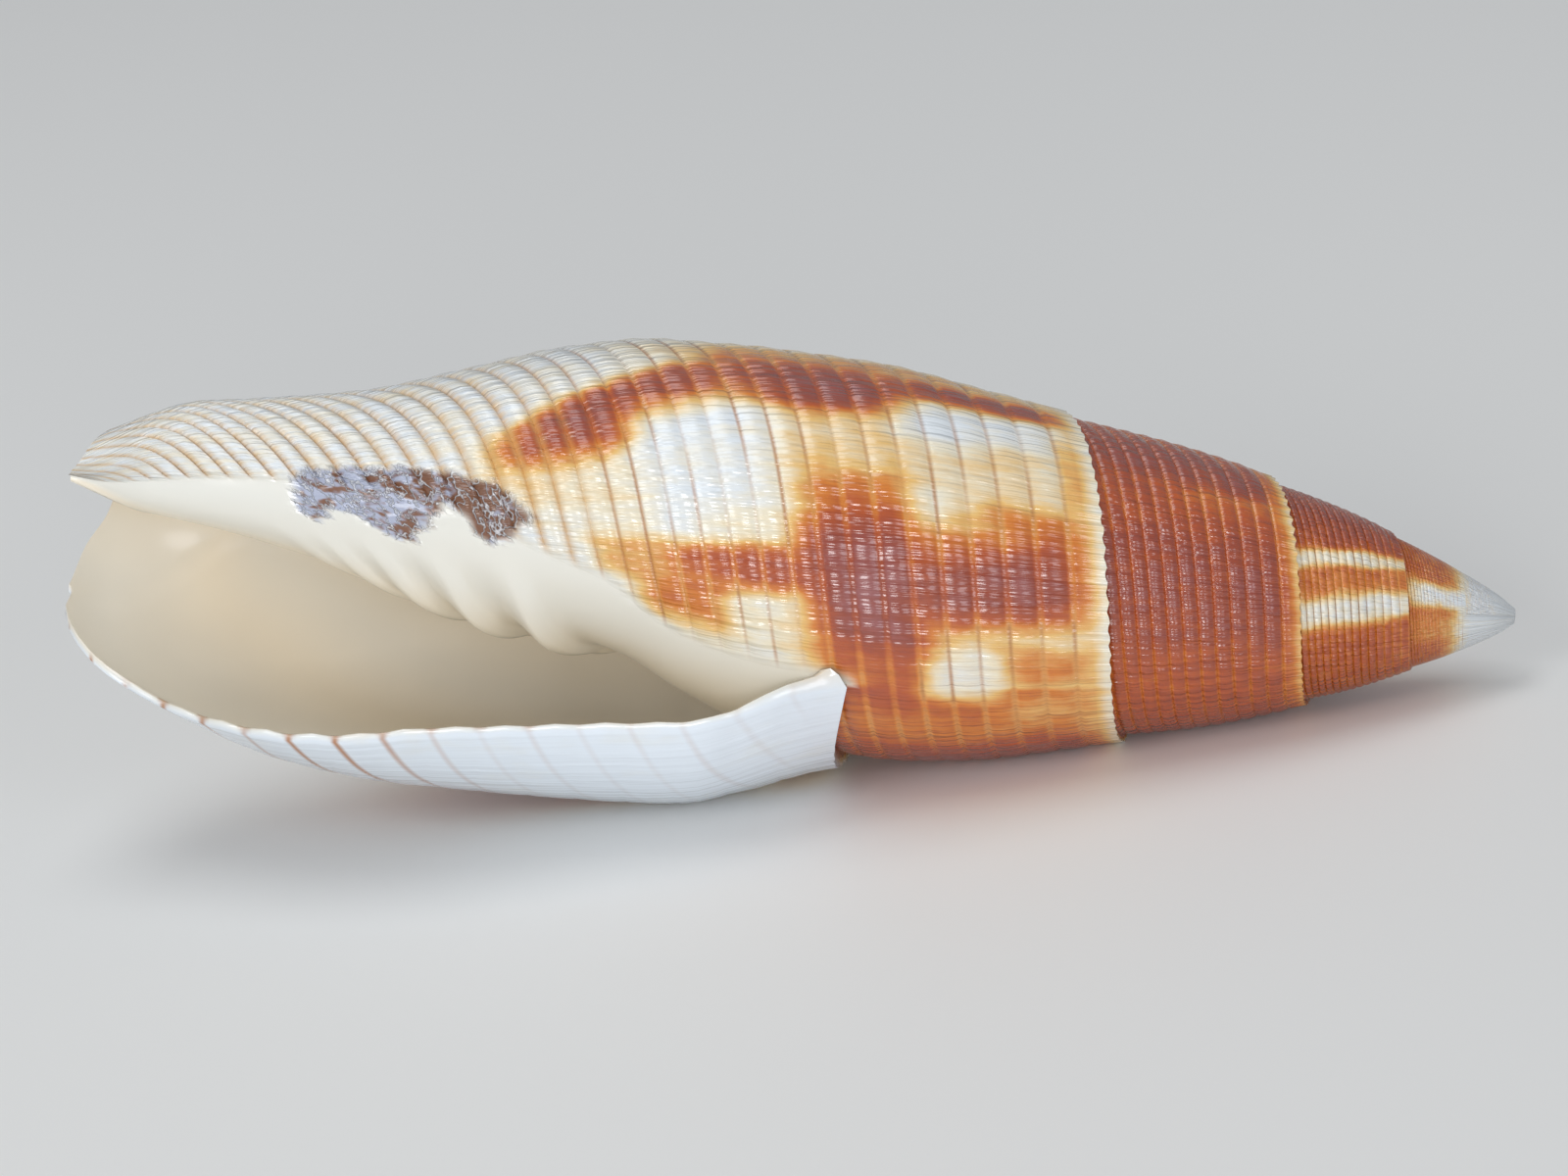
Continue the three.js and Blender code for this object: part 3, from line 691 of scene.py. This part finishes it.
def shell_material():
    material = bpy.data.materials.new("mitre_glaze")
    n = Nodes(material)
    ridge, growth = n.field("ridge"), n.math("MULTIPLY", n.field("growth"), GROWTH_TO_MM)
    smooth, worn, lip, dash = n.field("smooth"), n.field("worn"), n.field("lip"), n.field("dash")
    stripe = n.field("stripe")
    groove = n.math("PINGPONG", stripe, 0.5)
    plain = n.math("SUBTRACT", 1.0, smooth)
    streaks = n.noise(n.stretched(ridge, 0.3, growth, 2.2), 1.0, 3.0, 0.6)
    clouds = n.noise(n.vector(ridge, growth), 0.55, 3.0, 0.6)

    # Glaze: the hand-laid tone, clouded and faintly streaked, more orange in the grooves where it is dark
    tone = n.math("ADD", n.field("tone"), n.ramp_to(clouds, 0.25, 0.75, -0.06, 0.06))
    tone = n.math("ADD", tone, n.ramp_to(streaks, 0.25, 0.75, -0.045, 0.045))
    dark = n.ramp_to(tone, 0.4, 0.66)
    tone = n.math("SUBTRACT", tone, n.math("MULTIPLY", dark, n.ramp_to(groove, 0.04, 0.2, 0.14, 0.0)))
    glaze = n.colours(tone, GLAZE)
    white_lip = n.mix(n.ramp_to(clouds, 0.5, 0.8, 0.0, 0.5), LIP_WHITE, CREAM)
    glaze = n.mix(lip, glaze, white_lip)

    # Brown lines along the grooves, faint on the white and few on the lip
    number = n.math("FLOOR", n.math("ADD", stripe, 0.5))
    uneven = n.noise(n.stretched(number, 3.7, growth, 0.12), 1.0, 1.0)
    few = n.math("MULTIPLY", n.ramp_to(uneven, 0.35, 0.6, 0.5, 0.95), n.ramp_to(number, 5.5, 7.5, 0.16, 1.0))
    strength = n.new("ShaderNodeMix", {0: lip, 2: n.ramp_to(uneven, 0.35, 0.65, 0.15, 0.75), 3: few})
    line = n.math("MULTIPLY", n.ramp_to(groove, 0.0, 0.12, 1.0, 0.0), strength)
    line = n.math("MULTIPLY", line, n.ramp_to(ridge, 0.5, 1.0))
    line = n.math("MULTIPLY", line, n.math("SUBTRACT", 1.0, dark))
    base = n.math("MULTIPLY", n.ramp_to(ridge, 15.0, 19.0), n.math("SUBTRACT", 1.0, lip))
    line = n.math("MULTIPLY", line, n.math("SUBTRACT", 1.0, n.math("MULTIPLY", base, 0.5)))
    glaze = n.mix(line, glaze, LINE_BROWN)
    blotches = n.math("MULTIPLY", base, n.ramp_to(streaks, 0.3, 0.6, 0.35, 1.0))
    hollow = n.math("MULTIPLY", n.ramp_to(groove, 0.0, 0.34, 0.6, 0.0), blotches)
    glaze = n.mix(hollow, glaze, HOLLOW_TAN)

    # Smooth inner lip, with a dash at the end of each groove on the lip's edge
    stain = n.noise(n.vector(n.math("MULTIPLY", ridge, 0.08), growth), 0.12, 1.0)
    deep = n.field("deep")
    cream = n.mix(n.math("MULTIPLY", stain, n.ramp_to(deep, 0.0, 1.0, 0.3, 1.6)), CREAM, CREAM_DEEP)
    cream = n.mix(n.math("MULTIPLY", dash, n.ramp_to(groove, 0.08, 0.2, 0.75, 0.0)), cream, DASH_BROWN)
    colour = n.mix(smooth, glaze, cream)

    # Worn patch: brown and blue-grey scales with pale broken edges
    scales = n.noise(n.stretched(ridge, 1.7, growth, 0.75), 1.1, 2.0, 0.6)
    vein = n.ramp_to(n.math("ABSOLUTE", n.math("SUBTRACT", scales, 0.5)), 0.0, 0.045, 1.0, 0.0)
    patches = n.noise(n.vector(ridge, n.math("MULTIPLY", growth, 0.8)), 1.0, 2.0, 0.6)
    toward_canal = n.ramp_to(ridge, 19.5, 28.0, -0.12, 0.07)
    ground = n.mix(n.ramp_to(n.math("ADD", patches, toward_canal), 0.43, 0.57), WORN_BROWN, WORN_GREY)
    colour = n.mix(worn, colour, n.mix(n.math("MULTIPLY", vein, 0.8), ground, WORN_PALE))
    n.put(n.shader.inputs["Base Color"], colour)

    gloss = n.math("MULTIPLY", n.ramp_to(clouds, 0.3, 0.7, -0.12, -0.02), plain)
    n.put(n.shader.inputs["Roughness"], n.math("ADD", gloss, GLAZE_ROUGHNESS))
    n.shader.inputs["IOR"].default_value = GLAZE_IOR
    n.shader.inputs["Coat Weight"].default_value = COAT_WEIGHT
    n.shader.inputs["Coat Roughness"].default_value = COAT_ROUGHNESS

    # Growth lines cross the cords, faint on the lip; scales stand up in the worn patch
    striae = n.noise(n.stretched(ridge, 0.2, growth, 2.6), 1.0, 2.0, 0.6)
    crossed = n.math("MULTIPLY", plain, n.math("SUBTRACT", 1.0, n.math("MULTIPLY", lip, LIP_CALM)))
    height = n.math("MULTIPLY", striae, crossed)
    height = n.math("ADD", height, n.math("MULTIPLY", vein, worn))
    inputs = {"Height": height, "Strength": BUMP_STRENGTH, "Distance": BUMP_DISTANCE}
    bump = n.new("ShaderNodeBump", inputs, "Normal")
    n.put(n.shader.inputs["Normal"], bump)
    n.put(n.shader.inputs["Coat Normal"], bump)
    return material


def floor_piece():
    mesh = bpy.data.meshes.new("floor")
    corners = [(FLOOR_HALF * x, FLOOR_HALF * y, 0) for x, y in ((-1, -1), (1, -1), (1, 1), (-1, 1))]
    mesh.from_pydata(corners, [], [(0, 1, 2, 3)])
    floor = bpy.data.objects.new("floor", mesh)
    bpy.context.scene.collection.objects.link(floor)
    material = bpy.data.materials.new("pale_floor")
    n = Nodes(material)
    n.shader.inputs["Base Color"].default_value = FLOOR_COLOUR
    n.shader.inputs["Roughness"].default_value = FLOOR_ROUGHNESS
    mesh.materials.append(material)


def soft_light(name, place, aim, size, power, colour):
    data = bpy.data.lights.new(name, "AREA")
    data.shape = "RECTANGLE"
    data.size, data.size_y = size
    data.energy = power
    data.color = colour
    light = bpy.data.objects.new(name, data)
    light.location = place
    light.rotation_mode = "QUATERNION"
    light.rotation_quaternion = (Vector(aim) - Vector(place)).to_track_quat("-Z", "Y")
    bpy.context.scene.collection.objects.link(light)


# Lights: name, place, aim, size, watts and colour, in metres of the frame
LIGHTS = [
    ("overhead", (-0.05, 0.02, 0.32), (0, 0, 0.01), (0.3, 0.16), 0.34, (0.93, 0.97, 1.0)),
    ("front", (-0.03, -0.5, 0.1), (0, 0, 0.01), (0.18, 0.12), 0.72, (0.97, 0.985, 1.0)),
    ("apex side", (0.27, -0.42, 0.1), (0.01, 0, 0.01), (0.16, 0.3), 0.5, (0.9, 0.93, 1.0)),
    ("canal side", (-0.32, -0.3, 0.22), (-0.01, 0, 0.01), (0.2, 0.2), 0.55, (0.99, 0.99, 1.0)),
]
SKY_COLOUR, SKY_STRENGTH = (0.92, 0.95, 1.0, 1.0), 0.35


def studio():
    for light in LIGHTS:
        soft_light(*light)
    world = bpy.data.worlds.new("studio")
    world.use_nodes = True
    background = world.node_tree.nodes["Background"]
    background.inputs["Color"].default_value = SKY_COLOUR
    background.inputs["Strength"].default_value = SKY_STRENGTH
    bpy.context.scene.world = world
    bpy.context.scene.view_settings.view_transform = "Standard"


# Camera: where the photograph shows the apex, and the shell's axis in it
PHOTO_SIZE = (1600, 1200)
APEX_PIXEL = (1546, 629)
PIXEL_MM = 0.04065
AXIS_TILT = 4.33  # degrees the apex lies lower than the canal in the picture
APEX_AWAY = 3  # degrees the apex points away from the viewer
LENS, SENSOR = 200, 36
CLIP = (0.01, 10)  # metres


def camera():
    turned, apex = shell_axes()
    toward_apex = turned @ Vector((1, 0, 0))
    front = turned @ Vector((0, -1, 0))
    away = math.radians(APEX_AWAY)
    back = (front * math.cos(away) - toward_apex * math.sin(away)).normalized()
    across = (toward_apex - back * toward_apex.dot(back)).normalized()
    upward = back.cross(across)
    tilt = math.radians(AXIS_TILT)
    right = across * math.cos(tilt) + upward * math.sin(tilt)
    up = upward * math.cos(tilt) - across * math.sin(tilt)
    pixel = PIXEL_MM * MM
    middle = (apex + right * (PHOTO_SIZE[0] / 2 - APEX_PIXEL[0]) * pixel
              + up * (APEX_PIXEL[1] - PHOTO_SIZE[1] / 2) * pixel)
    data = bpy.data.cameras.new("camera")
    data.lens, data.sensor_width = LENS, SENSOR
    data.clip_start, data.clip_end = CLIP
    view = bpy.data.objects.new("camera", data)
    distance = PHOTO_SIZE[0] * pixel * LENS / SENSOR
    axes = Matrix((right, up, back)).transposed().to_4x4()
    view.matrix_world = Matrix.Translation(middle + back * distance) @ axes
    bpy.context.scene.collection.objects.link(view)
    bpy.context.scene.camera = view


shell = shell_piece()
shell.data.materials.append(shell_material())
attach(shell, "root")
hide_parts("shell")
floor_piece()
studio()
camera()
